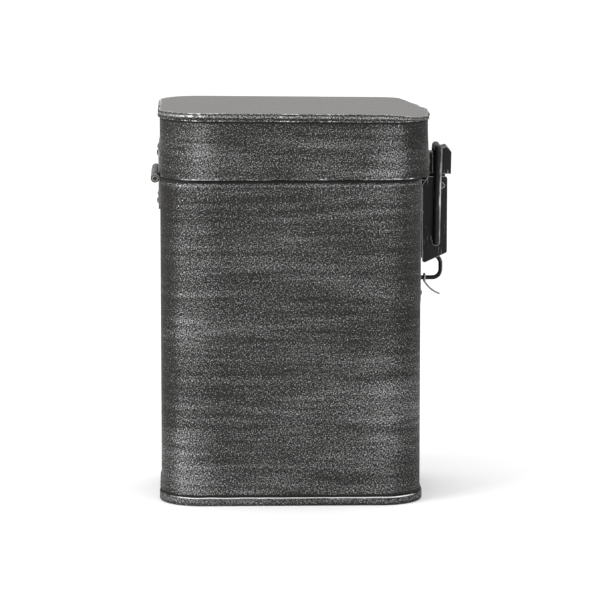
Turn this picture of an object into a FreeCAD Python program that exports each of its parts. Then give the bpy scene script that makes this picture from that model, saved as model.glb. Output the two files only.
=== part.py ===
import FreeCAD, Part
import math
import os
import re
import Sketcher

# Upright metal storage box with rounded corners, a hinged lid and a toggle latch.
# The origin is the middle of the underside. +Z is up, the hinge is on -X, the latch on +X.

# Driving sizes in millimetres, angles in degrees: name, value, what it is
SIZES = [
    ("body_length", 130.0, "outside of the wall, hinge side to latch side"),
    ("body_width", 90.0, "outside of the wall, front to back"),
    ("body_height", 163.3, "underside to the mouth edge"),
    ("body_wall", 0.9, "sheet of the wall"),
    ("corner_radius", 20.0, "outside corners of the wall"),
    ("seam_gap", 0.1, "solder film between two sheets"),
    ("seam_width", 7.0, "lap seam down the back"),
    ("seam_sheet", 0.5, "how far the lap stands proud"),
    ("base_plate", 0.9, "sheet of the bottom panel"),
    ("base_rim_height", 4.6, "turned-up edge of the bottom"),
    ("base_rim_wall", 0.9, "sheet of that edge"),
    ("base_edge_round", 1.0, "outer edge of the bottom"),
    ("collar_wall", 0.8, "sheet of the mouth collar"),
    ("collar_rise", 7.3, "collar above the mouth edge"),
    ("collar_drop", 8.5, "collar below the mouth edge"),
    ("lid_gap", 0.3, "mouth edge to the lid's lower edge"),
    ("lid_height", 33.6, "lower edge of the lid to its top"),
    ("lid_wall", 0.7, "sheet of the lid's band"),
    ("lid_front_overhang", 1.6, "lid beyond the wall, front and back"),
    ("lid_latch_overhang", 4.2, "lid beyond the wall on the latch side"),
    ("lid_plate", 0.8, "sheet of the top panel"),
    ("lid_rim_height", 4.1, "turned-down edge of the top"),
    ("lid_rim_wall", 0.9, "sheet of that edge"),
    ("lid_edge_round", 1.2, "outer edge of the top"),
    ("running_gap", 0.3, "between pieces that move past each other"),
    ("pin_fit", 0.05, "radial clearance of a pin or shank in its hole"),
    ("hinge_length", 48.0, "length of the hinge"),
    ("hinge_drop", 1.2, "hinge axis below the mouth edge"),
    ("knuckle_radius", 2.2, "outside of the rolled knuckles"),
    ("hinge_pin_radius", 1.3, "hinge pin"),
    ("hinge_pin_overhang", 0.8, "pin beyond the last knuckle"),
    ("leaf_sheet", 0.8, "sheet of the hinge leaves"),
    ("leaf_height", 15.5, "hinge axis to the edge of a leaf"),
    ("leaf_round", 1.5, "corners of a leaf"),
    ("hinge_rivet_pitch", 28.0, "between the rivets of a leaf"),
    ("hinge_rivet_edge", 3.5, "rivets in from the edge of a leaf"),
    ("rivet_radius", 1.0, "rivet shank"),
    ("rivet_head_radius", 2.0, "domed outer head"),
    ("rivet_head_height", 0.9, "domed outer head"),
    ("rivet_tail_radius", 1.6, "flat inner head"),
    ("rivet_tail_height", 0.6, "flat inner head"),
    ("latch_sheet", 1.2, "sheet of the latch plate, ears and lever"),
    ("latch_width", 18.0, "latch plate, front to back"),
    ("latch_drop", 2.2, "top of the latch plate below the mouth edge"),
    ("latch_round", 2.5, "corners of the latch plate"),
    ("rivet_side_gap", 0.8, "latch rivet's head to the ear beside it"),
    ("latch_upper_rivet_drop", 13.5, "top of the plate to the upper rivets"),
    ("latch_lower_rivet_rise", 4.5, "bottom of the plate to the lower rivets"),
    ("latch_foot_drop", 11.8, "staple's lower arm to the bottom of the plate"),
    ("pivot_reach", 11.4, "lever pin from the wall"),
    ("pivot_drop", 7.0, "lever pin below the mouth edge"),
    ("lever_pin_radius", 1.4, "lever pin"),
    ("ear_space", 12.0, "between the ears"),
    ("ear_nose_radius", 2.6, "rounded end of an ear"),
    ("ear_root_drop", 14.0, "lever pin to the foot of an ear"),
    ("lever_front_reach", 2.9, "lever pin to the front of the web"),
    ("lever_wall_gap", 0.5, "latch plate to the back of the cheeks"),
    ("lever_shoulder_reach", 7.0, "lever pin to the cheeks' upper back corner"),
    ("lever_top_rise", 4.6, "lever pin to the top of the cheeks"),
    ("lever_heel_drop", 34.0, "lever pin to the lower end of the web"),
    ("lever_tail_drop", 39.8, "lever pin to the cheeks' lower back corner"),
    ("lever_web_gap", 0.8, "rounded end of an ear to the upper end of the web"),
    ("lever_round", 1.2, "corners of the cheeks"),
    ("bail_wire_radius", 1.9, "bail wire"),
    ("bail_bend_radius", 2.4, "bends of the bail, at the wire's middle"),
    ("bail_setback", 2.8, "bail pivot behind the lever pin"),
    ("bail_pivot_drop", 28.5, "bail pivot below the lever pin"),
    ("bail_gap", 0.17, "bar above the catch's ledge"),
    ("bail_lean_angle", 1.0, "outward lean of the bail at rest"),
    ("bail_pin_grip", 0.6, "bail ends beyond the cheeks' inner faces"),
    ("tab_sheet", 0.8, "sheet of the finger tab"),
    ("tab_side_gap", 1.15, "finger tab to the bends of the bail"),
    ("tab_reach", 7.0, "bar to the front of the tab"),
    ("tab_gap", 1.2, "top of the lever to the lower edge of the tab"),
    ("tab_seat_rise", 0.3, "bar to the upper edge of the tab's seat on it"),
    ("tab_brow_reach", 4.6, "bar to the bend over the brow"),
    ("tab_brow_rise", 1.0, "bar to the top of the brow"),
    ("tab_brow_drop", 1.8, "bar to the lower bend of the brow"),
    ("tab_flange_reach", 2.2, "bar to the back edge of the tab's sides"),
    ("catch_sheet", 0.8, "sheet of the catch plate"),
    ("catch_width", 20.0, "catch plate, front to back"),
    ("catch_height", 10.7, "catch plate, top to bottom"),
    ("catch_drop", 1.5, "catch plate below the lid's lower edge"),
    ("catch_round", 1.5, "lower corners of the catch plate"),
    ("catch_rivet_pitch", 14.0, "between the catch rivets"),
    ("catch_rivet_rise", 6.7, "foot of the catch plate to its rivets"),
    ("ledge_length", 2.2, "ledge beyond the catch plate"),
    ("ledge_width", 8.0, "ledge, front to back"),
    ("ledge_sheet", 1.0, "ledge thickness"),
    ("staple_wire_radius", 1.1, "padlock staple wire"),
    ("staple_height", 11.4, "between the staple's arms, at the wire's middle"),
    ("staple_bend_radius", 4.2, "bends of the staple, at the wire's middle"),
    ("staple_reach", 11.6, "wall to the staple's outermost middle line"),
    ("staple_gap", 1.4, "lower end of the lever's web to the staple"),
    ("keeper_radius", 0.6, "keeper wire where it turns round the staple"),
    ("keeper_tail_radius", 0.5, "keeper wire along its tail"),
    ("keeper_stand", 3.4, "wall to the keeper's turn round the staple"),
    ("keeper_bend_radius", 15.0, "bend of the keeper's tail"),
    ("keeper_start_angle", 210.0, "where on its bend the tail starts"),
    ("keeper_sweep_angle", 40.0, "turn of the keeper's tail"),
    ("cut_overrun", 5.0, "how far a cut runs past what it cuts"),
]

# Sizes that follow from the driving ones
DERIVED = [
    ("wall_x", "body_length / 2"),
    ("lid_edge_z", "body_height + lid_gap"),
    ("lid_length", "body_length + lid_latch_overhang"),
    ("lid_width", "body_width + 2 * lid_front_overhang"),
    ("lid_radius", "corner_radius + lid_front_overhang"),
    ("lid_middle_x", "lid_latch_overhang / 2"),
    ("lid_wall_x", "wall_x + lid_latch_overhang"),
    ("lid_top_z", "lid_edge_z + lid_height"),
    ("hinge_x", "-wall_x - knuckle_radius - running_gap"),
    ("hinge_z", "body_height - hinge_drop"),
    ("hinge_bore_radius", "hinge_pin_radius + pin_fit"),
    ("leaf_clear", "knuckle_radius + running_gap"),
    ("hinge_rivet_rise", "leaf_height - hinge_rivet_edge"),
    ("rivet_hole_radius", "rivet_radius + pin_fit"),
    ("dome_radius", "(rivet_head_radius ^ 2 + rivet_head_height ^ 2) / (2 * rivet_head_height)"),
    ("pivot_x", "wall_x + pivot_reach"),
    ("pivot_z", "body_height - pivot_drop"),
    ("staple_rise", "staple_height / 2 + staple_wire_radius + staple_gap"),
    ("staple_z", "pivot_z - lever_heel_drop - staple_rise"),
    ("latch_top_z", "body_height - latch_drop"),
    ("latch_foot_z", "staple_z - staple_height / 2 - latch_foot_drop"),
    ("latch_length", "latch_top_z - latch_foot_z"),
    ("latch_middle_z", "(latch_top_z + latch_foot_z) / 2"),
    ("latch_rivet_pitch", "ear_space - 2 * (rivet_head_radius + rivet_side_gap)"),
    ("upper_rivet_z", "latch_top_z - latch_upper_rivet_drop"),
    ("lower_rivet_z", "latch_foot_z + latch_lower_rivet_rise"),
    ("ear_span", "ear_space + 2 * latch_sheet"),
    ("cheek_space", "ear_span + 2 * running_gap"),
    ("lever_span", "cheek_space + 2 * latch_sheet"),
    ("lever_back_reach", "pivot_reach - latch_sheet - lever_wall_gap"),
    ("lever_web_drop", "ear_nose_radius + lever_web_gap"),
    ("lever_base_x", "pivot_x - lever_back_reach"),
    ("lever_base_z", "pivot_z - lever_tail_drop"),
    ("lever_depth", "lever_back_reach + lever_front_reach"),
    ("bail_x", "pivot_x - bail_setback"),
    ("bail_z", "pivot_z - bail_pivot_drop"),
    ("catch_foot_z", "lid_edge_z - catch_drop"),
    ("catch_rivet_z", "catch_foot_z + catch_rivet_rise"),
    ("bar_z", "catch_foot_z + catch_height + bail_gap + bail_wire_radius"),
    ("bail_height", "(bar_z - bail_z) / cos(bail_lean_angle)"),
    ("bail_leg_y", "lever_span / 2 + bail_bend_radius + pin_fit"),
    ("bail_tip_y", "cheek_space / 2 - bail_pin_grip"),
    ("bail_hole_radius", "bail_wire_radius + pin_fit"),
    ("tab_width", "2 * (bail_leg_y - bail_bend_radius - tab_side_gap)"),
    ("tab_drop", "bail_height - bail_pivot_drop - lever_top_rise - tab_gap"),
    ("staple_hole_radius", "staple_wire_radius + pin_fit"),
    ("keeper_ring_radius", "staple_wire_radius + keeper_radius + seam_gap"),
    ("keeper_z", "staple_z - staple_height / 2"),
]

# Knuckles along the hinge, alternately the body's and the lid's
KNUCKLE_COUNT = 5

ALONG_X = FreeCAD.Vector(1, 0, 0)
ALONG_Y = FreeCAD.Vector(0, 1, 0)
ALONG_Z = FreeCAD.Vector(0, 0, 1)
RIGHT_ANGLE = math.radians(90)
# Relative difference under which two lengths count as the same
SAME = 1e-6

doc = FreeCAD.newDocument("MetalStorageBox")
sheet = doc.addObject("Spreadsheet::Sheet", "Sizes")
# A second sheet works out what a formula comes to while the sketches are drawn
workings = doc.addObject("Spreadsheet::Sheet", "Workings")
NAMES = [row[0] for row in SIZES + DERIVED]


def fill_sheet():
    for number, (name, value, note) in enumerate(SIZES, start=1):
        sheet.set(f"A{number}", name)
        sheet.set(f"B{number}", str(value))
        sheet.set(f"C{number}", note)
        sheet.setAlias(f"B{number}", name)
    for number, (name, formula) in enumerate(DERIVED, start=len(SIZES) + 1):
        sheet.set(f"A{number}", name)
        sheet.set(f"B{number}", "=" + formula)
        sheet.setAlias(f"B{number}", name)
    doc.recompute()


def of_sheet(formula):
    """The formula with each size's name pointing at its cell."""
    return re.sub(r"[a-z_]\w*", lambda m: "Sizes." + m[0] if m[0] in NAMES else m[0], formula)


def bind(item, **formulas):
    """Binds properties to formulas of sizes; a double underscore stands for a dot."""
    for path, formula in formulas.items():
        item.setExpression(path.replace("__", "."), of_sheet(formula))
    return item


def value(formula):
    """What a formula of sizes comes to now."""
    workings.set("A1", "=" + of_sheet(formula))
    workings.recompute()
    return float(workings.get("A1"))


def place(item, x="0", y="0", z="0"):
    return bind(item, Placement__Base__x=x, Placement__Base__y=y, Placement__Base__z=z)


def sketch_on(body, role, x="0", y="0", z="0"):
    """A sketch on one of the body's own planes, moved by x and y in it and by z out of it."""
    sketch = body.newObject("Sketcher::SketchObject", body.Name + "_sketch")
    plane = next(item for item in body.Origin.OriginFeatures if item.Role == role)
    sketch.AttachmentSupport = [(plane, "")]
    sketch.MapMode = "FlatFace"
    bind(sketch, AttachmentOffset__Base__x=x, AttachmentOffset__Base__y=y, AttachmentOffset__Base__z=z)
    return sketch


def dimension(sketch, formula, kind, *where):
    """Adds a constraint whose value is bound to a formula."""
    index = sketch.addConstraint(Sketcher.Constraint(kind, *where, value(formula)))
    sketch.setExpression(f"Constraints[{index}]", of_sheet(formula))


def from_origin(sketch, kind, formula, line, end):
    """Sets how far along X or Y a line's end lies from the sketch's origin, either way."""
    size = value(formula)
    if size == 0:
        axis = -2 if kind == "DistanceX" else -1
        sketch.addConstraint(Sketcher.Constraint("PointOnObject", line, end, axis))
    elif size > 0:
        dimension(sketch, formula, kind, -1, 1, line, end)
    else:
        dimension(sketch, f"-({formula})", kind, line, end, -1, 1)


def rounded_rectangle(sketch, length, width, radius):
    """Four lines and four corner arcs about the sketch's origin."""
    first = sketch.GeometryCount
    half_length = value(length) / 2
    half_width = value(width) / 2
    bend = value(radius)
    corners = [(1, -1), (1, 1), (-1, 1), (-1, -1)]
    points = []
    for side, (across, up) in enumerate(corners):
        middle = FreeCAD.Vector(across * (half_length - bend), up * (half_width - bend), 0)
        arc = Part.ArcOfCircle(
            Part.Circle(middle, ALONG_Z, bend),
            (side - 1) * RIGHT_ANGLE,
            side * RIGHT_ANGLE,
        )
        points.append((arc, arc.StartPoint, arc.EndPoint))
    for side in range(4):
        sketch.addGeometry(Part.LineSegment(points[side - 1][2], points[side][1]), False)
        sketch.addGeometry(points[side][0], False)
    lines = [first + 2 * side for side in range(4)]
    arcs = [line + 1 for line in lines]
    for side in range(4):
        sketch.addConstraint(Sketcher.Constraint("Tangent", lines[side], 2, arcs[side], 1))
        sketch.addConstraint(Sketcher.Constraint("Tangent", arcs[side], 2, lines[(side + 1) % 4], 1))
        kind = "Horizontal" if side % 2 == 0 else "Vertical"
        sketch.addConstraint(Sketcher.Constraint(kind, lines[side]))
    for arc in arcs[1:]:
        sketch.addConstraint(Sketcher.Constraint("Equal", arcs[0], arc))
    sketch.addConstraint(Sketcher.Constraint("Symmetric", lines[0], 1, lines[2], 1, -1, 1))
    dimension(sketch, length, "DistanceX", lines[3], 1, lines[1], 1)
    dimension(sketch, width, "DistanceY", lines[0], 1, lines[2], 1)
    dimension(sketch, radius, "Radius", arcs[0])


def polygon(sketch, points):
    """A closed outline of straight sides whose corners are bound to formulas."""
    places = [FreeCAD.Vector(value(across), value(up), 0) for across, up in points]
    for number, start in enumerate(places):
        sketch.addGeometry(Part.LineSegment(start, places[(number + 1) % len(places)]), False)
    for number, (across, up) in enumerate(points):
        sketch.addConstraint(Sketcher.Constraint("Coincident", number, 2, (number + 1) % len(points), 1))
        from_origin(sketch, "DistanceX", across, number, 1)
        from_origin(sketch, "DistanceY", up, number, 1)


def bent_path(sketch, points, radius):
    """An open path of upright and level runs with a round bend at each inner corner."""
    bend = value(radius)
    corners = [FreeCAD.Vector(value(across), value(up), 0) for across, up in points]
    ways = [(end - start).normalize() for start, end in zip(corners, corners[1:])]
    last = len(ways) - 1
    for run, way in enumerate(ways):
        start = corners[run] + way * (bend if run > 0 else 0)
        end = corners[run + 1] - way * (bend if run < last else 0)
        line = sketch.addGeometry(Part.LineSegment(start, end), False)
        level = points[run][1] == points[run + 1][1]
        sketch.addConstraint(Sketcher.Constraint("Horizontal" if level else "Vertical", line))
        if level:
            from_origin(sketch, "DistanceY", points[run][1], line, 1)
        else:
            from_origin(sketch, "DistanceX", points[run][0], line, 1)
        kind, part = ("DistanceX", 0) if level else ("DistanceY", 1)
        if run == last:
            from_origin(sketch, kind, points[-1][part], line, 2)
            continue
        if run == 0:
            from_origin(sketch, kind, points[0][part], line, 1)
        left_turn = way.cross(ways[run + 1]).z > 0
        middle = end + ways[run + 1] * bend
        out = middle + way * bend
        first, second = (end, out) if left_turn else (out, end)
        arc = sketch.addGeometry(Part.ArcOfCircle(
            Part.Circle(middle, ALONG_Z, bend),
            math.atan2(first.y - middle.y, first.x - middle.x),
            math.atan2(second.y - middle.y, second.x - middle.x),
        ), False)
        dimension(sketch, radius, "Radius", arc)
    for arc in range(1, 2 * last, 2):
        before = sketch.Geometry[arc - 1].EndPoint
        joins_at_start = sketch.Geometry[arc].StartPoint.isEqual(before, bend / 2)
        ends = (1, 2) if joins_at_start else (2, 1)
        sketch.addConstraint(Sketcher.Constraint("Tangent", arc - 1, 2, arc, ends[0]))
        sketch.addConstraint(Sketcher.Constraint("Tangent", arc, ends[1], arc + 1, 1))


def circle(sketch, radius):
    sketch.addGeometry(Part.Circle(FreeCAD.Vector(0, 0, 0), ALONG_Z, value(radius)), False)
    sketch.addConstraint(Sketcher.Constraint("Coincident", 0, 3, -1, 1))
    dimension(sketch, radius, "Radius", 0)


def new_body(name):
    return doc.addObject("PartDesign::Body", name)


def extrude(body, kind, sketch, length, side="One side", reverse=False):
    """A Pad or a Pocket of the sketch."""
    feature = body.newObject("PartDesign::" + kind, body.Name + "_" + kind.lower())
    feature.Profile = sketch
    feature.SideType = side
    feature.Reversed = reverse
    bind(feature, Length=length)
    doc.recompute()
    return feature


def round_edges(body, base, radius, wanted):
    """Fillets the edges of the last feature that the test picks."""
    fillet = body.newObject("PartDesign::Fillet", body.Name + "_fillet")
    names = [f"Edge{number}" for number, edge in enumerate(base.Shape.Edges, start=1) if wanted(edge)]
    fillet.Base = (base, names)
    bind(fillet, Radius=radius)
    doc.recompute()
    return fillet


def pipe(body, path, profile):
    """The profile swept along the path."""
    feature = body.newObject("PartDesign::AdditivePipe", body.Name + "_pipe")
    feature.Profile = profile
    feature.Spine = (path, [f"Edge{number + 1}" for number in range(path.GeometryCount)])
    doc.recompute()
    return feature


def box(name, length, width, height, x, y, z):
    item = doc.addObject("Part::Box", name)
    bind(item, Length=length, Width=width, Height=height)
    return place(item, x, y, z)


def rod(name, radius, length, x, y, z, along):
    """A cylinder from its starting point along +X, +Y or +Z."""
    item = doc.addObject("Part::Cylinder", name)
    bind(item, Radius=radius, Height=length)
    item.Placement.Rotation = FreeCAD.Rotation(ALONG_Z, along)
    return place(item, x, y, z)


def fuse(name, items):
    joined = doc.addObject("Part::MultiFuse", name)
    joined.Shapes = items
    return joined


def cut(name, base, tools):
    result = doc.addObject("Part::Cut", name)
    result.Base = base
    result.Tool = tools[0] if len(tools) == 1 else fuse(name + "_holes", tools)
    return result


def group(name, items):
    """Separate solids in one node."""
    compound = doc.addObject("Part::Compound", name)
    compound.Links = items
    return compound


def rivets(name, side, seat, inner, spots):
    """Rivets through a wall, a dome outside and a flat tail inside; side is 1 or -1 along X."""
    made = []
    for number, (y, z) in enumerate(spots, start=1):
        dome = doc.addObject("Part::Sphere", f"{name}_dome_{number}")
        bind(dome, Radius="dome_radius", Angle1="asin((dome_radius - rivet_head_height) / dome_radius)")
        dome.Placement.Rotation = FreeCAD.Rotation(ALONG_Z, ALONG_X * side)
        place(dome, f"{seat} - ({side}) * (dome_radius - rivet_head_height)", y, z)
        start = inner if side > 0 else seat
        grip = f"abs({seat} - ({inner}))"
        shank = rod(f"{name}_shank_{number}", "rivet_radius", grip, start, y, z, ALONG_X)
        foot = f"{inner} - rivet_tail_height" if side > 0 else inner
        tail = rod(f"{name}_tail_{number}", "rivet_tail_radius", "rivet_tail_height", foot, y, z, ALONG_X)
        made.append(fuse(f"{name}_{number}", [dome, shank, tail]))
    return group(name, made)


def rivet_holes(name, middle_x, spots):
    """Tools for the rivets' holes, across the wall at middle_x."""
    start = f"{middle_x} - cut_overrun"
    return [
        rod(f"{name}_hole_{number}", "rivet_hole_radius", "2 * cut_overrun", start, y, z, ALONG_X)
        for number, (y, z) in enumerate(spots, start=1)
    ]


def row(pitch, z):
    """Two spots side by side at height z."""
    return [(f"-{pitch} / 2", z), (f"{pitch} / 2", z)]


BODY_HINGE_SPOTS = row("hinge_rivet_pitch", "hinge_z - hinge_rivet_rise")
LID_HINGE_SPOTS = row("hinge_rivet_pitch", "hinge_z + hinge_rivet_rise")
LATCH_SPOTS = row("latch_rivet_pitch", "upper_rivet_z") + row("latch_rivet_pitch", "lower_rivet_z")
CATCH_SPOTS = row("catch_rivet_pitch", "catch_rivet_z")


def ring(name, length, width, radius, wall, height, x, z):
    """An upright band of sheet on a rounded rectangle, given by its outside."""
    body = new_body(name)
    sketch = sketch_on(body, "XY_Plane", x, "0", z)
    rounded_rectangle(sketch, length, width, radius)
    inner_sides = [f"{side} - 2 * ({wall})" for side in (length, width)]
    rounded_rectangle(sketch, *inner_sides, f"{radius} - ({wall})")
    extrude(body, "Pad", sketch, height)
    return body


def body_wall():
    band = ring(
        "wall_band", "body_length", "body_width", "corner_radius", "body_wall",
        "body_height - base_plate", "0", "base_plate",
    )
    lap = box(
        "wall_lap", "seam_width", "seam_sheet + body_wall / 2",
        "body_height - base_rim_height - running_gap - hinge_drop",
        "-seam_width / 2", "body_width / 2 - body_wall / 2", "base_rim_height + running_gap",
    )
    holes = rivet_holes("wall_hinge", "-wall_x", BODY_HINGE_SPOTS)
    holes += rivet_holes("wall_latch", "wall_x", LATCH_SPOTS)
    return cut("body_wall", fuse("wall_and_lap", [band, lap]), holes)


def tray(name, length, width, radius, height, plate, gap, edge_round, x, z, opens_up):
    """A panel with a turned edge round a band of the given outside, open upwards or downwards."""
    body = new_body(name)
    wall = "base_rim_wall" if opens_up else "lid_rim_wall"
    sketch = sketch_on(body, "XY_Plane", x, "0", z)
    grow = f"2 * ({gap} + {wall})"
    rounded_rectangle(sketch, f"{length} + {grow}", f"{width} + {grow}", f"{radius} + {gap} + {wall}")
    pad = extrude(body, "Pad", sketch, height)
    floor = value(z)
    reach = value(edge_round)
    if opens_up:
        round_edges(body, pad, edge_round, lambda edge: edge.BoundBox.ZMax < floor + reach)
        mouth = f"{z} + {height}"
    else:
        ceiling = value(f"{z} + {height}")
        round_edges(body, pad, edge_round, lambda edge: edge.BoundBox.ZMin > ceiling - reach)
        mouth = z
    hollow = sketch_on(body, "XY_Plane", x, "0", mouth)
    rounded_rectangle(hollow, f"{length} + 2 * {gap}", f"{width} + 2 * {gap}", f"{radius} + {gap}")
    extrude(body, "Pocket", hollow, f"{height} - {plate}", reverse=not opens_up)
    return body


def base_cap():
    return tray(
        "base_cap", "body_length", "body_width", "corner_radius", "base_rim_height", "base_plate",
        "seam_gap", "base_edge_round", "0", "0", True,
    )


def mouth_collar():
    inset = "2 * (body_wall + seam_gap)"
    return ring(
        "mouth_collar", f"body_length - {inset}", f"body_width - {inset}",
        "corner_radius - body_wall - seam_gap", "collar_wall", "collar_drop + collar_rise",
        "0", "body_height - collar_drop",
    )


def lid_skirt():
    band = ring(
        "lid_band", "lid_length", "lid_width", "lid_radius", "lid_wall",
        "lid_height - lid_plate", "lid_middle_x", "lid_edge_z",
    )
    holes = rivet_holes("lid_hinge", "-wall_x", LID_HINGE_SPOTS)
    holes += rivet_holes("lid_catch", "lid_wall_x", CATCH_SPOTS)
    return cut("lid_skirt", band, holes)


def lid_top():
    return tray(
        "lid_top", "lid_length", "lid_width", "lid_radius", "lid_rim_height", "lid_plate",
        "seam_gap", "lid_edge_round", "lid_middle_x", "lid_top_z - lid_rim_height", False,
    )


def hinge_leaf(name, way, own_knuckles, spots):
    """A leaf on the hinge side: way is 1 above the axis and -1 below it."""
    plate = new_body(name + "_plate")
    middle = f"hinge_z + ({way}) * (leaf_clear + leaf_height) / 2"
    sketch = sketch_on(plate, "YZ_Plane", "0", middle, "-wall_x - leaf_sheet")
    rounded_rectangle(sketch, "hinge_length", "leaf_height - leaf_clear", "leaf_round")
    extrude(plate, "Pad", sketch, "leaf_sheet")
    pieces = [plate]
    pitch = f"hinge_length / {KNUCKLE_COUNT}"
    for number in own_knuckles:
        start = f"-hinge_length / 2 + {number} * {pitch} + running_gap / 2"
        length = f"{pitch} - running_gap"
        pieces.append(rod(
            f"{name}_knuckle_{number}", "knuckle_radius", length, "hinge_x", start, "hinge_z", ALONG_Y,
        ))
        pieces.append(box(
            f"{name}_link_{number}", "leaf_sheet - running_gap", length, "leaf_clear + leaf_sheet",
            "-wall_x - leaf_sheet", start, "hinge_z" if way > 0 else "hinge_z - leaf_clear - leaf_sheet",
        ))
    bore = rod(
        name + "_bore", "hinge_bore_radius", "hinge_length + 2 * cut_overrun",
        "hinge_x", "-hinge_length / 2 - cut_overrun", "hinge_z", ALONG_Y,
    )
    return cut(name, fuse(name + "_blank", pieces), [bore] + rivet_holes(name, "-wall_x", spots))


def hinge_pin():
    return rod(
        "hinge_pin", "hinge_pin_radius", "hinge_length + 2 * hinge_pin_overhang",
        "hinge_x", "-hinge_length / 2 - hinge_pin_overhang", "hinge_z", ALONG_Y,
    )


def across_rod(name, radius, x, z):
    """A tool for a hole from front to back through the latch."""
    return rod(
        name, radius, "lever_span + 2 * cut_overrun", x, "-lever_span / 2 - cut_overrun", z, ALONG_Y,
    )


def latch_base():
    body = new_body("latch_plate")
    sketch = sketch_on(body, "YZ_Plane", "0", "latch_middle_z", "wall_x")
    rounded_rectangle(sketch, "latch_width", "latch_length", "latch_round")
    extrude(body, "Pad", sketch, "latch_sheet")
    foot = "pivot_z - ear_root_drop"
    ears = sketch_on(body, "XZ_Plane", "wall_x + latch_sheet / 2", foot)
    reach = "pivot_reach - latch_sheet / 2"
    polygon(ears, [
        ("0", "0"),
        (reach, "ear_root_drop - ear_nose_radius"),
        (reach, "ear_root_drop + ear_nose_radius"),
        ("0", "ear_root_drop + ear_nose_radius"),
    ])
    extrude(body, "Pad", ears, "ear_span", "Symmetric")
    nose = sketch_on(body, "XZ_Plane", "pivot_x", "pivot_z")
    circle(nose, "ear_nose_radius")
    extrude(body, "Pad", nose, "ear_span", "Symmetric")
    space = sketch_on(body, "XZ_Plane", "wall_x + latch_sheet", f"{foot} - cut_overrun")
    depth = "pivot_reach + ear_nose_radius + cut_overrun"
    rise = "ear_root_drop + ear_nose_radius + 2 * cut_overrun"
    polygon(space, [("0", "0"), (depth, "0"), (depth, rise), ("0", rise)])
    extrude(body, "Pocket", space, "ear_space", "Symmetric")
    holes = [across_rod("ear_bore", "lever_pin_radius + pin_fit", "pivot_x", "pivot_z")]
    holes += rivet_holes("plate_rivet", "wall_x", LATCH_SPOTS)
    for number, way in enumerate((1, -1), start=1):
        holes.append(rod(
            f"staple_hole_{number}", "staple_hole_radius", "2 * cut_overrun", "wall_x - cut_overrun",
            "0", f"staple_z + ({way}) * staple_height / 2", ALONG_X,
        ))
    return cut("latch_base", body, holes)


def latch_lever():
    body = new_body("lever_channel")
    side = sketch_on(body, "XZ_Plane", "lever_base_x", "lever_base_z")
    top = "lever_tail_drop + lever_top_rise"
    polygon(side, [
        ("0", "0"),
        ("lever_depth", "lever_tail_drop - lever_heel_drop"),
        ("lever_depth", top),
        ("lever_back_reach - lever_shoulder_reach", top),
        ("0", "lever_tail_drop"),
    ])
    pad = extrude(body, "Pad", side, "lever_span", "Symmetric")
    span = value("lever_span")
    round_edges(
        body, pad, "lever_round",
        lambda edge: math.isclose(edge.BoundBox.YLength, span, rel_tol=SAME),
    )
    hollow = sketch_on(body, "XZ_Plane", "lever_base_x - cut_overrun", "lever_base_z - cut_overrun")
    depth = "lever_depth - latch_sheet + cut_overrun"
    rise = f"{top} + 2 * cut_overrun"
    polygon(hollow, [("0", "0"), (depth, "0"), (depth, rise), ("0", rise)])
    extrude(body, "Pocket", hollow, "cheek_space", "Symmetric")
    notch = sketch_on(body, "XZ_Plane", "lever_base_x", "pivot_z - lever_web_drop")
    wide = "lever_depth + cut_overrun"
    high = "lever_web_drop + lever_top_rise + cut_overrun"
    polygon(notch, [("0", "0"), (wide, "0"), (wide, high), ("0", high)])
    extrude(body, "Pocket", notch, "cheek_space", "Symmetric")
    return cut("latch_lever", body, [
        across_rod("lever_bore", "lever_pin_radius + pin_fit", "pivot_x", "pivot_z"),
        across_rod("bail_bore", "bail_hole_radius", "bail_x", "bail_z"),
    ])


def lever_pin():
    return rod(
        "lever_pin", "lever_pin_radius", "lever_span", "pivot_x", "-lever_span / 2", "pivot_z", ALONG_Y,
    )


def lean(item):
    """Puts a piece made about the bail's pivot where the bail stands at rest."""
    item.Placement.Rotation = FreeCAD.Rotation(ALONG_Y, value("bail_lean_angle"))
    place(item, "bail_x", "0", "bail_z")
    return bind(item, Placement__Rotation__Angle="bail_lean_angle")


def bail():
    body = new_body("bail")
    path = sketch_on(body, "YZ_Plane")
    bent_path(path, [
        ("-bail_tip_y", "0"),
        ("-bail_leg_y", "0"),
        ("-bail_leg_y", "bail_height"),
        ("bail_leg_y", "bail_height"),
        ("bail_leg_y", "0"),
        ("bail_tip_y", "0"),
    ], "bail_bend_radius")
    wire = sketch_on(body, "XZ_Plane", "0", "0", "bail_tip_y")
    circle(wire, "bail_wire_radius")
    pipe(body, path, wire)
    return lean(body)


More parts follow.
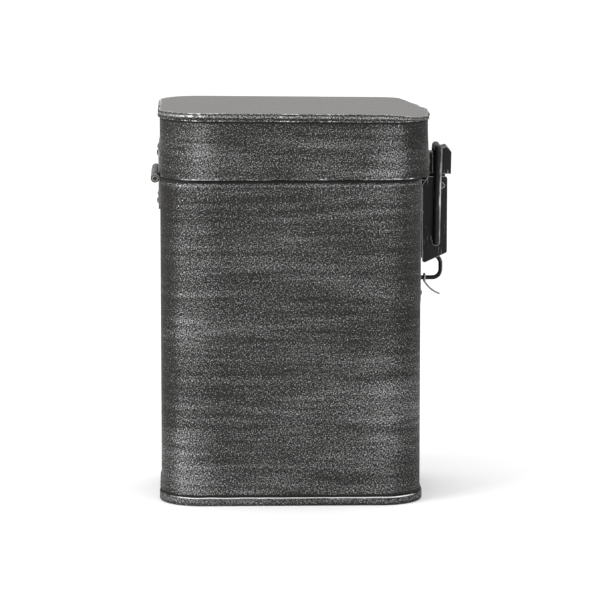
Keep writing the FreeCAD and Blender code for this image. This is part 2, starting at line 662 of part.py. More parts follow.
def bail_tab():
    """A folded finger tab, brazed along the outer side of the bail's bar."""
    body = new_body("bail_tab")
    seat = ("bail_wire_radius + pin_fit", "tab_drop + tab_seat_rise")
    brow = ("tab_brow_reach", "tab_drop + tab_brow_rise")
    front = ("tab_reach", "tab_drop - tab_brow_drop")
    inner = "tab_reach - tab_sheet"
    underside = [
        (inner, f"{front[1]} - tab_sheet / 2"),
        (f"{brow[0]} - tab_sheet / 4", f"{brow[1]} - tab_sheet"),
        (seat[0], f"{seat[1]} - tab_sheet"),
    ]
    strip = sketch_on(body, "XZ_Plane", "0", "bail_height - tab_drop")
    polygon(strip, [seat, brow, front, ("tab_reach", "0"), (inner, "0")] + underside)
    extrude(body, "Pad", strip, "tab_width", "Symmetric")
    sides = sketch_on(body, "XZ_Plane", "0", "bail_height - tab_drop")
    polygon(sides, [
        ("tab_flange_reach", "0"),
        ("tab_reach - tab_sheet / 2", "0"),
        ("tab_reach - tab_sheet / 2", f"{front[1]} - tab_sheet / 4"),
        (brow[0], f"{brow[1]} - tab_sheet / 2"),
        ("tab_flange_reach", f"{seat[1]} - tab_sheet / 2"),
    ])
    extrude(body, "Pad", sides, "tab_width", "Symmetric")
    hollow = sketch_on(body, "XZ_Plane", "0", "bail_height - tab_drop")
    below = "-cut_overrun"
    polygon(hollow, [(seat[0], below), (inner, below)] + underside)
    extrude(body, "Pocket", hollow, "tab_width - 2 * tab_sheet", "Symmetric")
    return lean(body)


def catch_plate():
    body = new_body("catch_sheet_metal")
    sketch = sketch_on(body, "YZ_Plane", "0", "catch_foot_z + catch_height / 2", "lid_wall_x")
    rounded_rectangle(sketch, "catch_width", "catch_height", "catch_round")
    extrude(body, "Pad", sketch, "catch_sheet")
    ledge = box(
        "catch_ledge", "catch_sheet + ledge_length", "ledge_width", "ledge_sheet",
        "lid_wall_x", "-ledge_width / 2", "catch_foot_z + catch_height - ledge_sheet",
    )
    sides = [
        box(
            f"catch_side_{number}", "catch_sheet + ledge_length", "catch_sheet", "catch_height",
            "lid_wall_x", start, "catch_foot_z",
        )
        for number, start in enumerate(("-ledge_width / 2", "ledge_width / 2 - catch_sheet"), start=1)
    ]
    holes = rivet_holes("catch_rivet", "lid_wall_x", CATCH_SPOTS)
    return cut("catch_plate", fuse("catch_blank", [body, ledge] + sides), holes)


def padlock_staple():
    body = new_body("padlock_staple")
    path = sketch_on(body, "XZ_Plane", "wall_x", "staple_z")
    bent_path(path, [
        ("seam_gap", "staple_height / 2"),
        ("staple_reach", "staple_height / 2"),
        ("staple_reach", "-staple_height / 2"),
        ("seam_gap", "-staple_height / 2"),
    ], "staple_bend_radius")
    wire = sketch_on(body, "YZ_Plane", "0", "staple_z + staple_height / 2", "wall_x + seam_gap")
    circle(wire, "staple_wire_radius")
    pipe(body, path, wire)
    return body


def keeper_wire():
    turn = doc.addObject("Part::Torus", "keeper_turn")
    bind(turn, Radius1="keeper_ring_radius", Radius2="keeper_radius")
    turn.Placement.Rotation = FreeCAD.Rotation(ALONG_Z, ALONG_X)
    place(turn, "wall_x + keeper_stand", "0", "keeper_z")
    tail = doc.addObject("Part::Torus", "keeper_tail")
    bind(tail, Radius1="keeper_bend_radius", Radius2="keeper_tail_radius", Angle3="keeper_sweep_angle")
    upright = FreeCAD.Rotation(ALONG_X, math.degrees(RIGHT_ANGLE))
    tail.Placement.Rotation = upright * FreeCAD.Rotation(ALONG_Z, value("keeper_start_angle"))
    place(
        tail, "wall_x + keeper_stand - keeper_bend_radius * cos(keeper_start_angle)", "0",
        "keeper_z - keeper_ring_radius - keeper_bend_radius * sin(keeper_start_angle)",
    )
    return fuse("keeper_wire", [turn, tail])


def build():
    """Every piece of the box, named as its file."""
    knuckles = range(KNUCKLE_COUNT)
    leaf_seat = "-wall_x - leaf_sheet"
    return {
        "body_wall": body_wall(),
        "base_cap": base_cap(),
        "mouth_collar": mouth_collar(),
        "body_hinge_leaf": hinge_leaf("body_hinge_leaf", -1, knuckles[0::2], BODY_HINGE_SPOTS),
        "body_hinge_rivets": rivets(
            "body_hinge_rivets", -1, leaf_seat, "-wall_x + body_wall", BODY_HINGE_SPOTS,
        ),
        "hinge_pin": hinge_pin(),
        "latch_base": latch_base(),
        "latch_rivets": rivets(
            "latch_rivets", 1, "wall_x + latch_sheet", "wall_x - body_wall", LATCH_SPOTS,
        ),
        "lever_pin": lever_pin(),
        "padlock_staple": padlock_staple(),
        "keeper_wire": keeper_wire(),
        "lid_skirt": lid_skirt(),
        "lid_top": lid_top(),
        "lid_hinge_leaf": hinge_leaf("lid_hinge_leaf", 1, knuckles[1::2], LID_HINGE_SPOTS),
        "lid_hinge_rivets": rivets(
            "lid_hinge_rivets", -1, leaf_seat, "-wall_x + lid_wall", LID_HINGE_SPOTS,
        ),
        "catch_plate": catch_plate(),
        "catch_rivets": rivets(
            "catch_rivets", 1, "lid_wall_x + catch_sheet", "lid_wall_x - lid_wall", CATCH_SPOTS,
        ),
        "latch_lever": latch_lever(),
        "bail": bail(),
        "bail_tab": bail_tab(),
    }


def check(nodes):
    """Stops if any object failed or any piece is not a sound solid."""
    failed = [item.Name for item in doc.Objects if {"Invalid", "Error"} & set(item.State)]
    if failed:
        raise RuntimeError("failed objects: " + ", ".join(failed))
    for name, item in nodes.items():
        if item.Shape.isNull() or not item.Shape.isValid() or not item.Shape.Solids:
            raise RuntimeError("unsound shape: " + name)


def export(nodes):
    os.makedirs("parts", exist_ok=True)
    for name, item in nodes.items():
        item.Shape.exportStep(f"parts/{name}.step")


fill_sheet()
nodes = build()
for name, item in nodes.items():
    item.Label = name
doc.recompute()
check(nodes)
export(nodes)
for name, item in nodes.items():
    print(f"{name}: {len(item.Shape.Solids)} solids, {item.Shape.Volume:.1f} cubic mm")
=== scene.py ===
import math

import bpy
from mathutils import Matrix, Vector, noise


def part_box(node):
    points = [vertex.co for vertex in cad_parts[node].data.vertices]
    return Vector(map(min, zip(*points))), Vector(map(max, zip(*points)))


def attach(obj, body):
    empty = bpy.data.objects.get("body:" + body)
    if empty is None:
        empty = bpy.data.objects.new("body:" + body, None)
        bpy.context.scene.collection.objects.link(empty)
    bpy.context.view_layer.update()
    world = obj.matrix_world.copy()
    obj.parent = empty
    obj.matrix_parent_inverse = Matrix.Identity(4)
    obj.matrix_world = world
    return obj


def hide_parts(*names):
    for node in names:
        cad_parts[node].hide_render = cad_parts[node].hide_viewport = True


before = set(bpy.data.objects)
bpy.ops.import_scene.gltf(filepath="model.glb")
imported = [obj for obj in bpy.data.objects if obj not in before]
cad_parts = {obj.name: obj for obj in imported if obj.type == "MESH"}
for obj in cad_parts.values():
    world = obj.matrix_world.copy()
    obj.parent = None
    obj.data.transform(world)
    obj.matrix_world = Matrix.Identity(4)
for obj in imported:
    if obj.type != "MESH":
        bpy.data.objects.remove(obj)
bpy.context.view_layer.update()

# Sizes of the sheets, in metres
MM = 0.001
WALL_CORNER = 20 * MM
WALL_SHEET = 0.9 * MM
SEAM_HALF_WIDTH = 3.5 * MM
SEAM_PROUD = 0.5 * MM
SEAM_STEP = 0.25 * MM
SEAM_FADE = (1 * MM, 3 * MM)
BASE_SHEET = 0.9 * MM
BASE_RIM_SHEET = 0.9 * MM
LID_CORNER = 21.6 * MM
LID_SHEET = 0.7 * MM
TOP_SHEET = 0.8 * MM
TOP_RIM_SHEET = 0.9 * MM
SOLDER_GAP = 0.1 * MM
EDGE_ROUND = 0.3 * MM
BASE_ROUND = 1.0 * MM
TOP_ROUND = 1.2 * MM
BEAD_DROP = 2.7 * MM
BEAD_HALF_HEIGHT = 1.1 * MM
BEAD_PROUD = 0.3 * MM
# Heights of the painted shade in the joint above the base's rim and under the lid's top rim
GROOVE_HEIGHT = 1.2 * MM
RIM_SHADE = 1.2 * MM

# How finely the sheets are divided
COLUMN_STEP = 4 * MM
ROW_STEP = 3 * MM
CORNER_STEPS = 12
ROUND_STEPS = 4
PANEL_RINGS = 14
BEAD_SHARES = (-1, -0.5, 0, 0.5, 1)
GROOVE_SHARES = (0.25, 0.5, 0.75, 1)
BASE_RIM_SHARES = (0.3, 0.6, 0.85)
LID_EDGE_ROWS = (0, 0.5 * MM, 1.1 * MM)
LID_ROWS_START = 2 * MM

# How far the hand-made sheet departs from flat, over what distance, and where that fades out
WALL_WAVE = 0.35 * MM
PANEL_WAVE = 0.3 * MM
RIM_WAVE = 0.22 * MM
SWELL_WAVE = 0.4 * RIM_WAVE
WAVE_SIZE = 45 * MM
PANEL_WAVE_SIZE = 2 * WAVE_SIZE
RIM_WAVE_SIZE = 9 * MM
WALL_FOOT_FADE = 10 * MM
WALL_MOUTH_FADE = (4 * MM, 14 * MM)
LID_FADE_SHARES = (0.03, 0.3)
PANEL_FADE = 20 * MM
# Shifts that give each piece waves of its own
SWELL_SHIFT = 1.0
LID_WAVE_SHIFT = 7 * MM
LID_RIM_SHIFT = 3 * MM

# The lid leans in at the latch side's corners, and its top slopes and bends down that way
LID_FRONT_LEAN = 1.2 * MM
LID_BACK_LEAN = 3.0 * MM
LEAN_TURN = (0.0, 0.9)
CATCH_CLEAR = 11 * MM
LEAN_FADE = 10 * MM
LID_SLOPE = 1.3 * MM
LID_DROOP = 2.0 * MM
DROOP_FRONT_LENGTH = 26 * MM
DROOP_BACK_LENGTH = 13 * MM

# Where the front and back carry extra rub, which paints highlight bands near the corners, as distances from
# the hinge side and the latch side
WALL_HINGE_START = (4 * MM, 11 * MM)
LID_HINGE_START = (11 * MM, 21 * MM)
HINGE_HIGHLIGHT_END = (18 * MM, 32 * MM)
LATCH_HIGHLIGHT_START = (8 * MM, 17 * MM)
LATCH_HIGHLIGHT_END = (20 * MM, 34 * MM)
# Where the paint is kept whole round the corners, which paints shade on the turn, as shares of the turn
# from front to side
HINGE_SHADE_TURN = (0.45, 0.85)
LATCH_SHADE_TURN = (0.2, 0.6)
SIDE_TURN = (0.9, 1.0)
# How much the paint is rubbed or kept whole, and how far up from the foot; at the corners the extra rub
# paints highlight bands and the whole paint paints shade. The painted shade in joints and under edges
# leaves no rub at all
HINGE_TURN_SHADE = 0.08
WALL_HINGE_HIGHLIGHT_RUB = 0.085
WALL_LATCH_HIGHLIGHT_RUB = 0.045
WALL_LATCH_TURN_SHADE = 0.03
WALL_FOOT_RUB = 0.075
WALL_FOOT_HEIGHT = 120 * MM
BEAD_RUB = 0.18
BASE_RIM_RUB = 0.1
LID_RUB = 0.03
LID_HINGE_HIGHLIGHT_RUB = 0.14
LID_LATCH_HIGHLIGHT_RUB = 0.1
LID_LATCH_TURN_SHADE = 0.12
TOP_EDGE_RUB = 0.2
# Painted shade: how far the paint is kept unrubbed, so darker, in the joints above the base and under the
# lid's edges
PAINTED_SHADE = 1.0

# How far edges are worn to bright metal
MOUTH_WEAR = 0.6
BASE_FOOT_WEAR = 0.12
BASE_SHOULDER_WEAR = 0.6
BASE_EDGE_WEAR = 0.8
BASE_INNER_WEAR = 0.3
BASE_CORNER_FADE = 0.6
BASE_CORNER_TURN = (0.3, 0.9)
LID_EDGE_WEAR = 0.42
LID_NEAR_EDGE_WEAR = 0.3
LID_WEAR_HEIGHT = 1.2 * MM
TOP_EDGE_WEAR = 0.32
TOP_INNER_WEAR = 0.2
# Up the rim of the lid's top: share of its height, wear and rub
TOP_RIM_ROWS = ((0, 0.3, 0.16), (0.25, 0.06, 0.0), (0.5, 0.06, 0.0), (0.75, 0.24, 0.27))
# From the rim over to the top, a value per step of the round
TOP_ROUND_WEAR = (0.26, 0.2, 0.18, 0.38, 0.34)
TOP_ROUND_RUB = (0.25, 0.1, 0.0, 0.25, 0.3)

# Depth of the finishes' fine relief, and width of the worn edges
PAINT_RELIEF = 0.3 * MM
FINE_RELIEF = 0.2 * MM
WIRE_RELIEF = 0.1 * MM
LATCH_WORN_EDGE = 0.5 * MM
STEEL_WORN_EDGE = 0.6 * MM
NOISE_ROUGHNESS = 0.55

# Broken edges of the hardware
LATCH_SOFTEN = 0.2 * MM
HINGE_SOFTEN = 0.15 * MM
WELD_DISTANCE = 0.005 * MM
BEVEL_SEGMENTS = 2
BEVEL_ANGLE = math.radians(35)

# The side of the latch's wires that is handled and worn bare, a streak that also paints the wires'
# highlight: away from the box and to the front
WORN_HIGHLIGHT_SIDE = (0.94, -0.34, 0.0)

# Light of the studio's surroundings, and its softboxes: place, width, height and power
HORIZON_LIGHT = 0.45
ZENITH_LIGHT = 1.5
LEFT_SOFTBOX = ((-1.25, -0.75, 0.55), 1.0, 1.4, 20)
RIGHT_SOFTBOX = ((1.25, -0.75, 0.45), 0.6, 1.0, 4)
SOFTBOX_TARGET = (0, 0, 0.1)
FLOOR_REACH = 60.0

# Camera: the photograph is 600 by 600 pixels, taken from far away with a long lens
SENSOR = 36.0
LENS = 218.8
CAMERA_DISTANCE = 1.85
CAMERA_RISE = math.radians(8.6)
CAMERA_TURN = math.radians(-1.57)
CAMERA_TARGET = Vector((5.34 * MM, 0, 97 * MM))


def smooth(value, low, high):
    """0 below low, 1 above high, and a smooth step between."""
    share = min(1.0, max(0.0, (value - low) / (high - low)))
    return share * share * (3 - 2 * share)


def wave(place, size):
    """Smooth wandering between about -1 and 1."""
    return noise.noise(Vector(place) / size)


class Column:
    """One upright line of a sheet: its place on the outline, its outward normal and the run so far."""

    def __init__(self, x, y, normal_x, normal_y, run):
        self.x = x
        self.y = y
        self.normal_x = normal_x
        self.normal_y = normal_y
        self.run = run

    def at(self, out, height):
        return Vector((self.x + self.normal_x * out, self.y + self.normal_y * out, height))


def outline(low, high, radius, stops=()):
    """Columns round a rounded rectangle from the middle of the back, anticlockwise.
    The first one comes last again. The stops are extra places on the back, as distances from its middle."""
    middle_x = (low.x + high.x) / 2
    reach_x = (high.x - low.x) / 2 - radius
    reach_y = (high.y - low.y) / 2 - radius
    columns = []
    run = 0.0

    def straight(start, end, normal, marks=()):
        nonlocal run
        length = (end - start).length
        count = max(1, round(length / COLUMN_STEP))
        shares = sorted({number / count for number in range(count)} | {mark / length for mark in marks})
        for share in shares:
            spot = start.lerp(end, share)
            columns.append(Column(spot.x, spot.y, *normal, run + share * length))
        run += length

    def corner(centre_x, centre_y, first_angle):
        nonlocal run
        for number in range(CORNER_STEPS):
            angle = first_angle + number / CORNER_STEPS * math.pi / 2
            normal = (math.cos(angle), math.sin(angle))
            columns.append(Column(
                centre_x + radius * normal[0], centre_y + radius * normal[1], *normal,
                run + radius * (angle - first_angle),
            ))
        run += radius * math.pi / 2

    left, right = middle_x - reach_x, middle_x + reach_x
    front, back = -reach_y - radius, reach_y + radius
    far_stops = [reach_x - stop for stop in stops]
    straight(Vector((middle_x, back)), Vector((left, back)), (0, 1), stops)
    corner(left, reach_y, math.pi / 2)
    straight(Vector((left - radius, reach_y)), Vector((left - radius, -reach_y)), (-1, 0))
    corner(left, -reach_y, math.pi)
    straight(Vector((left, front)), Vector((right, front)), (0, -1))
    corner(right, -reach_y, math.pi * 1.5)
    straight(Vector((right + radius, -reach_y)), Vector((right + radius, reach_y)), (1, 0))
    corner(right, reach_y, 0.0)
    straight(Vector((right, back)), Vector((middle_x, back)), (0, 1), far_stops)
    first = columns[0]
    columns.append(Column(first.x, first.y, first.normal_x, first.normal_y, run))
    return columns


class Sheet:
    """A mesh in the making, with metric sheet coordinates, and wear and rub painted at its points."""

    def __init__(self):
        self.places = []
        self.wear = []
        self.rub = []
        self.faces = []
        self.coordinates = []
        self.slots = []

    def point(self, place, wear=0.0, rub=0.0):
        self.places.append(place)
        self.wear.append(wear)
        self.rub.append(rub)
        return len(self.places) - 1

    def face(self, corners, coordinates, slot):
        self.faces.append(corners)
        self.coordinates.append(coordinates)
        self.slots.append(slot)

    def sweep(self, columns, section):
        """Joins each column's section to the next one's. A section is a list of (place, wear, rub, slot).
        Returns the points, a list per column."""
        lines = [[self.point(*spot[:3]) for spot in section(column)] for column in columns[:-1]]
        slots = [spot[3] for spot in section(columns[0])]
        for number, column in enumerate(columns[:-1]):
            here = lines[number]
            there = lines[(number + 1) % len(lines)]
            next_run = columns[number + 1].run
            for row in range(len(here) - 1):
                corners = (here[row], there[row], there[row + 1], here[row + 1])
                runs = (column.run, next_run, next_run, column.run)
                self.face(corners, [
                    (run, self.places[corner].z) for run, corner in zip(runs, corners)
                ], slots[row])
        return lines

    def panel(self, ring, middle, height, up, slot=0):
        """Fills a ring with smaller and smaller rings. height(x, y) gives the panel's level."""
        rim = [self.places[corner] for corner in ring]
        outer = ring
        for number in range(1, PANEL_RINGS):
            share = 1 - number / PANEL_RINGS
            inner = []
            for place in rim:
                x = middle.x + (place.x - middle.x) * share
                y = middle.y + (place.y - middle.y) * share
                inner.append(self.point(Vector((x, y, height(x, y)))))
            for spot in range(len(ring)):
                following = (spot + 1) % len(ring)
                self.flat_face((outer[spot], outer[following], inner[following], inner[spot]), up, slot)
            outer = inner
        self.flat_face(tuple(outer), up, slot)

    def flat_face(self, corners, up, slot):
        corners = corners if up else tuple(reversed(corners))
        self.face(corners, [(self.places[corner].x, self.places[corner].y) for corner in corners], slot)

    def piece(self, name, body, node, materials):
        """The finished object, which stands for a CAD node and rides on its body."""
        mesh = bpy.data.meshes.new(name)
        mesh.from_pydata(self.places, [], self.faces)
        layer = mesh.uv_layers.new(name="sheet")
        for polygon, coordinates, slot in zip(mesh.polygons, self.coordinates, self.slots):
            polygon.material_index = slot
            polygon.use_smooth = True
            for loop, spot in zip(polygon.loop_indices, coordinates):
                layer.data[loop].uv = spot
        for label, values in (("wear", self.wear), ("rub", self.rub)):
            mesh.attributes.new(label, "FLOAT", "POINT").data.foreach_set("value", values)
        for material in materials:
            mesh.materials.append(material)
        made = bpy.data.objects.new(name, mesh)
        bpy.context.scene.collection.objects.link(made)
        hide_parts(node)
        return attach(made, body)


class Shader:
    """One material's node tree, with short calls for the nodes that the finishes use."""

    def __init__(self, name):
        self.material = bpy.data.materials.new(name)
        self.material.use_nodes = True
        self.tree = self.material.node_tree
        self.surface = self.tree.nodes["Principled BSDF"]

    def node(self, kind, inputs=None, **settings):
        made = self.tree.nodes.new(kind)
        for key, value in settings.items():
            setattr(made, key, value)
        for key, value in (inputs or {}).items():
            self.put(value, made.inputs[key])
        return made

    def put(self, value, socket):
        """Links an output to the socket, or sets the socket's own value."""
        if isinstance(value, bpy.types.NodeSocket):
            self.tree.links.new(value, socket)
        else:
            socket.default_value = value

    def set(self, **values):
        """Sets the surface's sockets; an underscore stands for a space."""
        for key, value in values.items():
            self.put(value, self.surface.inputs[key.replace("_", " ")])

    def sheet_place(self):
        return self.node("ShaderNodeUVMap", uv_map="sheet").outputs["UV"]

    def object_place(self):
        return self.node("ShaderNodeTexCoord").outputs["Object"]

    def painted(self, label):
        return self.node("ShaderNodeAttribute", attribute_name=label).outputs["Fac"]

    def stretched(self, place, scale, turn=0.0):
        """The place turned about Z and scaled per axis, in features per metre."""
        return self.node("ShaderNodeMapping", {
            "Vector": place, "Rotation": (0.0, 0.0, turn), "Scale": scale,
        }).outputs["Vector"]

    def noise(self, place, detail, scale=1.0):
        return self.node("ShaderNodeTexNoise", {
            "Vector": place, "Scale": scale, "Detail": detail, "Roughness": NOISE_ROUGHNESS,
        }).outputs["Fac"]

    def math(self, operation, first, second):
        made = self.node("ShaderNodeMath", operation=operation)
        self.put(first, made.inputs[0])
        self.put(second, made.inputs[1])
        return made.outputs[0]

    def total(self, *terms):
        """The sum of (value, weight) pairs."""
        result = None
        for value, weight in terms:
            term = self.math("MULTIPLY", value, weight)
            result = term if result is None else self.math("ADD", result, term)
        return result

    def step(self, value, low, high, to_low=0.0, to_high=1.0):
        """A smooth step from to_low to to_high."""
        return self.node("ShaderNodeMapRange", {
            "Value": value, "From Min": low, "From Max": high, "To Min": to_low, "To Max": to_high,
        }, interpolation_type="SMOOTHSTEP").outputs["Result"]

    def blend(self, share, first, second):
        """A colour between two colours."""
        made = self.node("ShaderNodeMix", data_type="RGBA")
        self.put(share, made.inputs["Factor"])
        colours = [socket for socket in made.inputs if socket.type == "RGBA"]
        self.put(first, colours[0])
        self.put(second, colours[1])
        return next(socket for socket in made.outputs if socket.type == "RGBA")

    def bump(self, height, strength, distance):
        return self.node("ShaderNodeBump", {
            "Height": height, "Strength": strength, "Distance": distance,
        }).outputs["Normal"]

    def edges(self, radius):
        """1 on sharp outer and inner edges, 0 on flat faces."""
        bevel = self.node("ShaderNodeBevel", {"Radius": radius}, samples=6).outputs["Normal"]
        true_normal = self.node("ShaderNodeNewGeometry").outputs["Normal"]
        dot = self.node("ShaderNodeVectorMath", operation="DOT_PRODUCT")
        self.put(bevel, dot.inputs[0])
        self.put(true_normal, dot.inputs[1])
        return self.step(dot.outputs["Value"], 0.995, 0.88)

    def broken_wear(self, place):
        """The painted wear, broken up into long and short runs."""
        long_runs = self.noise(place, scale=70, detail=2.0)
        short_runs = self.noise(place, scale=520, detail=3.0)
        wear = self.total((self.painted("wear"), 1.0), (long_runs, 0.8), (short_runs, 0.7))
        return self.step(wear, 1.08, 1.3)

    def facing(self, way):
        """How far the surface faces a way in the piece's own frame, from -1 to 1."""
        normal = self.node("ShaderNodeTexCoord").outputs["Normal"]
        dot = self.node("ShaderNodeVectorMath", operation="DOT_PRODUCT")
        self.put(normal, dot.inputs[0])
        self.put(way, dot.inputs[1])
        return dot.outputs["Value"]


def grey(level, warm=0.0):
    """A colour of that level, a little warmer or cooler."""
    return (level * (1 + warm), level, level * (1 - warm), 1.0)


def rubbed_paint():
    """Dark paint rubbed back to bright metal in fine level and upright strokes."""
    look = Shader("rubbed_paint")
    place = look.sheet_place()
    level = look.noise(look.stretched(place, (1000, 2600, 1)), detail=1.0)
    upright = look.noise(look.stretched(place, (2600, 1000, 1)), detail=1.0)
    grain = look.noise(place, scale=2300, detail=1.0)
    patches = look.noise(look.stretched(place, (9, 24, 1), math.radians(7)), detail=3.0)
    strokes = look.noise(look.stretched(place, (22, 300, 1), math.radians(-6)), detail=2.0)
    rub_value = look.total(
        (level, 1.0), (upright, 1.0), (grain, 1.0), (patches, 0.42), (strokes, 0.35),
        (look.painted("rub"), 1.0),
    )
    rub = look.step(rub_value, 1.94, 2.44)
    wear = look.broken_wear(place)
    tone = look.noise(look.stretched(place, (30, 30, 1)), detail=4.0)
    paint = look.blend(tone, grey(0.009, 0.08), grey(0.016, 0.05))
    rubbed = look.blend(rub, paint, grey(0.46))
    look.set(
        Base_Color=look.blend(wear, rubbed, grey(0.85)),
        Metallic=look.math("MAXIMUM", look.math("MULTIPLY", rub, 0.75), wear),
        Roughness=look.step(look.math("MAXIMUM", rub, wear), 0.0, 1.0, 0.62, 0.36),
        Specular_IOR_Level=0.12,
        Normal=look.bump(look.total((rub, 0.6), (grain, 0.4), (tone, 0.5)), 0.25, PAINT_RELIEF),
    )
    return look.material


def top_paint_with_painted_sheen():
    """The lid's top: the same paint, satin, with fine brushed rub and a few longer scuffs; its colour is
    lighter and warmer than on the sides, which paints part of the top's grazing sheen.
    """
    look = Shader("top_paint_with_painted_sheen")
    place = look.sheet_place()
    level = look.noise(look.stretched(place, (500, 2400, 1)), detail=2.0)
    upright = look.noise(look.stretched(place, (2400, 500, 1)), detail=2.0)
    grain = look.noise(place, scale=2000, detail=1.0)
    tone = look.noise(look.stretched(place, (18, 34, 1)), detail=4.0)
    scuffs = look.noise(look.stretched(place, (24, 420, 1), math.radians(9)), detail=3.0)
    rub_value = look.total((level, 1.0), (upright, 1.0), (grain, 0.8), (tone, 0.6), (scuffs, 0.5))
    rub = look.step(rub_value, 1.9, 2.5)
    # Lighter, warmer paint than the sides': a painted sheen of the top seen at a grazing angle
    paint = look.blend(tone, grey(0.046, 0.16), grey(0.068, 0.14))
    wear = look.broken_wear(place)
    rubbed = look.blend(rub, paint, grey(0.24, 0.06))
    look.set(
        Base_Color=look.blend(wear, rubbed, grey(0.8)),
        Metallic=look.math("MAXIMUM", look.math("MULTIPLY", rub, 0.6), wear),
        Roughness=look.step(tone, 0.2, 0.8, 0.25, 0.35),
        Specular_IOR_Level=0.75,
        Normal=look.bump(look.total((grain, 0.5), (level, 0.5)), 0.12, FINE_RELIEF),
    )
    return look.material


def inner_paint(by_sheet):
    """The inside: plain dark paint with a few scuffs."""
    look = Shader("inner_paint_sheet" if by_sheet else "inner_paint_solid")
    place = look.sheet_place() if by_sheet else look.object_place()
    tone = look.noise(place, scale=60, detail=4.0)
    grain = look.noise(place, scale=1300, detail=2.0)
    scuffs = look.noise(look.stretched(place, (50, 650, 650), math.radians(8)), detail=2.0)
    scuff = look.step(look.total((scuffs, 1.0), (tone, 0.7)), 0.98, 1.25)
    paint = look.blend(tone, grey(0.030), grey(0.050, 0.02))
    look.set(
        Base_Color=look.blend(scuff, paint, grey(0.20)),
        Metallic=look.math("MULTIPLY", scuff, 0.5),
        Roughness=look.step(grain, 0.2, 0.8, 0.5, 0.65),
        Specular_IOR_Level=0.35,
        Normal=look.bump(look.total((grain, 0.5), (tone, 0.5)), 0.15, PAINT_RELIEF),
    )
    return look.material


def latch_paint(name, worn_highlight_side=0.0):
    """Black paint, worn to bright metal along the edges and, on wires, down the outer side, a bare streak
    that also paints the wires' highlight.
    """
    look = Shader(name)
    place = look.object_place()
    tone = look.noise(place, scale=180, detail=3.0)
    grain = look.noise(place, scale=1500, detail=2.0)
    runs = look.noise(look.stretched(place, (260, 260, 90)), detail=3.0)
    edge = look.step(look.total((look.edges(LATCH_WORN_EDGE), 1.0), (runs, 1.1)), 0.95, 1.3)
    scrape = look.step(look.noise(look.stretched(place, (900, 900, 90)), detail=3.0), 0.62, 0.75)
    worn = look.math("MAXIMUM", edge, look.math("MULTIPLY", scrape, 0.55))
    # A bare streak down the wires' outer side: handled wear that also paints their highlight
    if worn_highlight_side:
        side = look.step(look.total((look.facing(WORN_HIGHLIGHT_SIDE), 1.0), (runs, worn_highlight_side)), 1.2, 1.5)
        worn = look.math("MAXIMUM", worn, side)
    paint = look.blend(tone, grey(0.004), grey(0.010, 0.08))
    look.set(
        Base_Color=look.blend(worn, paint, grey(0.62)),
        Metallic=worn,
        Roughness=look.step(look.total((tone, 0.6), (grain, 0.4)), 0.3, 0.7, 0.34, 0.5),
        Specular_IOR_Level=0.22,
        Normal=look.bump(look.total((grain, 0.5), (tone, 0.5)), 0.25, PAINT_RELIEF),
    )
    return look.material


def worn_steel(name, dark, bright, share):
    """Steel with remains of paint: share is how much of the paint is left."""
    look = Shader(name)
    place = look.object_place()
    tone = look.noise(place, scale=260, detail=4.0)
    grain = look.noise(look.stretched(place, (1800, 260, 1800)), detail=2.0)
    edge = look.edges(STEEL_WORN_EDGE)
    bare = look.step(look.total((tone, 1.0), (edge, 0.5), (grain, 0.3)), share, share + 0.3)
    look.set(
        Base_Color=look.blend(bare, grey(dark, 0.03), grey(bright, 0.03)),
        Metallic=bare,
        Roughness=look.step(grain, 0.2, 0.8, 0.3, 0.46),
        Specular_IOR_Level=0.3,
        Normal=look.bump(look.total((grain, 0.6), (tone, 0.4)), 0.2, FINE_RELIEF),
    )
    return look.material


def bright_wire():
    """Bare pale wire, a little dull in places."""
    look = Shader("bright_wire")
    place = look.object_place()
    tone = look.noise(place, scale=500, detail=3.0)
    draw_marks = look.noise(look.stretched(place, (300, 2500, 300)), detail=2.0)
    look.set(
        Base_Color=look.blend(tone, grey(0.14), grey(0.42)),
        Metallic=1.0,
        Roughness=look.step(tone, 0.2, 0.8, 0.42, 0.28),
        Normal=look.bump(draw_marks, 0.15, WIRE_RELIEF),
    )
    return look.material


def rub_and_painted_light_near_corner(column, low, high, hinge_start, hinge_highlight_rub, latch_highlight_rub, latch_paint):
    """More rub where the front and back run up to the corners, painting highlight bands, and hardly any
    further round them, where the kept paint paints shade on the turn.
    """
    hinge = column.x - low.x
    latch = high.x - column.x
    turn = abs(column.normal_x)
    off_side = 1 - smooth(turn, *SIDE_TURN)
    rub = hinge_highlight_rub * smooth(hinge, *hinge_start) * (1 - smooth(hinge, *HINGE_HIGHLIGHT_END))
    rub += latch_highlight_rub * smooth(latch, *LATCH_HIGHLIGHT_START) * (1 - smooth(latch, *LATCH_HIGHLIGHT_END))
    if column.normal_x < 0:
        return rub - HINGE_TURN_SHADE * smooth(turn, *HINGE_SHADE_TURN) * off_side
    return rub - latch_paint * smooth(turn, *LATCH_SHADE_TURN) * off_side


def heights(low, high):
    """Levels from low to high, about a row apart."""
    count = max(1, round((high - low) / ROW_STEP))
    return [low + (high - low) * number / count for number in range(count + 1)]


def edge_round(out_start, out_end, level, rise):
    """A half-round edge from one face to the other; rise is how far it stands up, or down if below zero."""
    middle = (out_start + out_end) / 2
    reach = (out_start - out_end) / 2
    angles = [step / ROUND_STEPS * math.pi for step in range(1, ROUND_STEPS)]
    return [(middle + reach * math.cos(angle), level + rise * math.sin(angle)) for angle in angles]


